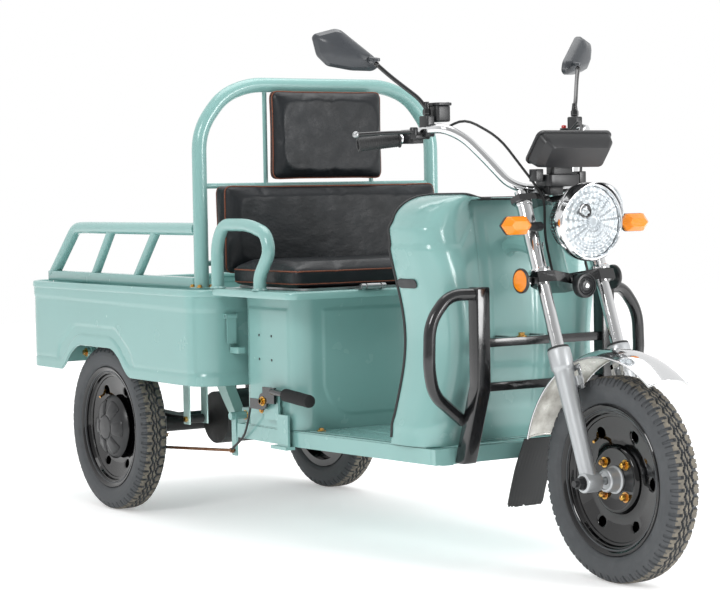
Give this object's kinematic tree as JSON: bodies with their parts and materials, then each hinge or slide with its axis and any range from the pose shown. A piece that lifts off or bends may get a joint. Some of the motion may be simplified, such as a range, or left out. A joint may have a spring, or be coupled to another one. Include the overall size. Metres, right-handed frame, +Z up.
{
  "type": "electric cargo tricycle",
  "caption": "Three-wheeled electric cargo trike: steered front wheel, leg shield, bench seat with armrests, hoop with cushions, and tipping cargo bed with side rails.",
  "frame": {"origin": "on the ground under the middle of the vehicle", "axes": "+X forward, +Y to the vehicle's left, +Z up"},
  "size_m": [2.43, 0.8374, 1.244],
  "materials": {
    "alloy": "satin",
    "amber": "gloss",
    "black_paint": "satin",
    "black_plastic": "satin",
    "chrome": "polished",
    "foam": "matte",
    "leatherette": "satin",
    "lens": "clear",
    "mint_paint": "gloss",
    "red_plastic": "gloss",
    "rim_paint": "gloss",
    "rubber": "matte",
    "steel": "brushed",
    "tyre": "matte",
    "zinc": "satin"
  },
  "bodies": {
    "chassis": {"frame_rails": "mint_paint", "rear_frame": "mint_paint", "head_tube": "black_paint", "floor_plate": "mint_paint", "leg_shield": "mint_paint", "shield_trim": "rubber", "crash_guard": "black_paint", "seat_box": "mint_paint", "seat_deck": "mint_paint", "armrests": "mint_paint", "seat_hinge": "steel", "battery_pack": "black_plastic", "motor_controller": "alloy", "handbrake_cable": "rubber"},
    "brake_shaft": {"brake_cross_shaft": "steel"},
    "rods": {"brake_rods": "zinc"},
    "handbrake": {"handbrake_lever": "black_paint", "handbrake_grip": "foam"},
    "seat": {"seat_board": "steel", "seat_cushion": "leatherette"},
    "steering": {"steering_stem": "black_paint", "fork_stanchions": "chrome", "headlight_shell": "chrome", "headlight_lens": "lens", "amber_lamps": "amber", "lamp_brackets": "black_plastic", "horn": "black_plastic", "instrument_case": "black_plastic", "handlebar": "chrome", "grip_left": "rubber", "control_housings": "black_plastic", "mirror_stems": "black_paint", "control_cables": "rubber"},
    "throttle": {"throttle_grip": "rubber"},
    "lever_left": {"brake_lever_left": "alloy"},
    "lever_right": {"brake_lever_right": "alloy"},
    "mirror_left": {"mirror_left": "black_plastic"},
    "mirror_right": {"mirror_right": "black_plastic"},
    "key": {"key_switch": "steel"},
    "button": {"horn_button": "red_plastic"},
    "fork_lower": {"fork_sliders": "alloy", "front_axle": "steel", "front_mudguard": "chrome", "mud_flap": "rubber"},
    "front_wheel": {"front_tyre": "tyre", "front_rim": "rim_paint"},
    "rear_axle": {"rear_axle": "black_paint", "drive_motor": "black_paint", "leaf_springs": "black_paint"},
    "rear_wheel_left": {"rear_tyre_left": "tyre", "rear_rim_left": "rim_paint"},
    "rear_wheel_right": {"rear_tyre_right": "tyre", "rear_rim_right": "rim_paint"},
    "bed": {"bed_tub": "mint_paint", "bed_beams": "mint_paint", "side_rails": "mint_paint", "hoop": "mint_paint", "back_cushion": "leatherette", "head_cushion": "leatherette"},
    "tailgate": {"tailgate": "mint_paint"},
    "tailgate_latch": {"tailgate_latch": "steel"},
    "bed_latch": {"bed_latch": "mint_paint"}
  },
  "joints": [
    {"name": "steer", "type": "hinge", "parent": "chassis", "child": "steering", "pos_m": [0.75151, 0, 0.73761], "axis": [-0.3469, 0, 0.9379], "range_deg": [-36, 36]},
    {"name": "fork_travel", "type": "slide", "parent": "steering", "child": "fork_lower", "axis": [-0.3469, 0, 0.9379], "range_m": [0, 0.04], "stiffness_N_per_m": 30000, "springref_m": -0.04},
    {"name": "front_wheel_spin", "type": "hinge", "parent": "fork_lower", "child": "front_wheel", "pos_m": [0.988, 0, 0.228], "axis": [0, 1, 0], "continuous": true},
    {"name": "rear_suspension", "type": "slide", "parent": "chassis", "child": "rear_axle", "axis": [0, 0, 1], "range_m": [0, 0.03], "stiffness_N_per_m": 60000, "springref_m": -0.06, "deforming": ["leaf_springs"]},
    {"name": "rear_wheel_left_spin", "type": "hinge", "parent": "rear_axle", "child": "rear_wheel_left", "pos_m": [-0.76, 0.345, 0.228], "axis": [0, 1, 0], "continuous": true},
    {"name": "rear_wheel_right_spin", "type": "hinge", "parent": "rear_axle", "child": "rear_wheel_right", "pos_m": [-0.76, -0.345, 0.228], "axis": [0, 1, 0], "continuous": true},
    {"name": "bed_tip", "type": "hinge", "parent": "chassis", "child": "bed", "pos_m": [-1.15, 0, 0.408], "axis": [0, -1, 0], "range_deg": [0, 38]},
    {"name": "tailgate_drop", "type": "hinge", "parent": "bed", "child": "tailgate", "pos_m": [-1.2034, 0, 0.5035], "axis": [0, -1, 0], "range_deg": [0, 95]},
    {"name": "tailgate_latch_turn", "type": "hinge", "parent": "tailgate", "child": "tailgate_latch", "pos_m": [-1.2, 0, 0.58], "axis": [1, 0, 0], "range_deg": [-90, 90]},
    {"name": "bed_latch_swing", "type": "hinge", "parent": "bed", "child": "bed_latch", "pos_m": [-0.165, -0.318, 0.556], "axis": [0, -1, 0], "range_deg": [0, 85]},
    {"name": "seat_flip", "type": "hinge", "parent": "chassis", "child": "seat", "pos_m": [0.244, 0, 0.638], "axis": [0, 1, 0], "range_deg": [0, 80]},
    {"name": "handbrake_pull", "type": "hinge", "parent": "chassis", "child": "handbrake", "pos_m": [0.008, -0.3285, 0.352], "axis": [0, -1, 0], "range_deg": [0, 36]},
    {"name": "brake_shaft_turn", "type": "hinge", "parent": "chassis", "child": "brake_shaft", "pos_m": [-0.216, 0, 0.295], "axis": [0, -1, 0], "range_deg": [0, 10.8]},
    {"name": "brake_rods_pull", "type": "slide", "parent": "chassis", "child": "rods", "axis": [1, 0, 0], "range_m": [0, 0.017]},
    {"name": "throttle_twist", "type": "hinge", "parent": "steering", "child": "throttle", "pos_m": [0.505, -0.228, 0.987], "axis": [0.3252, 0.9394, 0.1084], "range_deg": [0, 60], "stiffness_Nm_per_rad": 0.3},
    {"name": "brake_lever_left_pull", "type": "hinge", "parent": "steering", "child": "lever_left", "pos_m": [0.566, 0.246, 1.001], "axis": [0, 0, 1], "range_deg": [0, 12], "stiffness_Nm_per_rad": 3},
    {"name": "brake_lever_right_pull", "type": "hinge", "parent": "steering", "child": "lever_right", "pos_m": [0.566, -0.246, 1.001], "axis": [0, 0, -1], "range_deg": [0, 12], "stiffness_Nm_per_rad": 3},
    {"name": "mirror_left_turn", "type": "hinge", "parent": "steering", "child": "mirror_left", "pos_m": [0.49, 0.294, 1.158], "axis": [0, 0, 1], "range_deg": [-12, 12]},
    {"name": "mirror_right_turn", "type": "hinge", "parent": "steering", "child": "mirror_right", "pos_m": [0.49, -0.294, 1.158], "axis": [0, 0, 1], "range_deg": [-12, 12]},
    {"name": "key_turn", "type": "hinge", "parent": "steering", "child": "key", "pos_m": [0.762, 0, 0.905], "axis": [0, 0, 1], "range_deg": [0, 90]},
    {"name": "horn_press", "type": "slide", "parent": "steering", "child": "button", "axis": [0, 0, -1], "range_m": [0, 0.003], "stiffness_N_per_m": 600}
  ],
  "couplings": [
    {"joint": "brake_shaft_turn", "follows": "handbrake_pull", "ratio": 0.3},
    {"joint": "brake_rods_pull", "follows": "handbrake_pull", "m_per_rad": 0.0267}
  ]
}
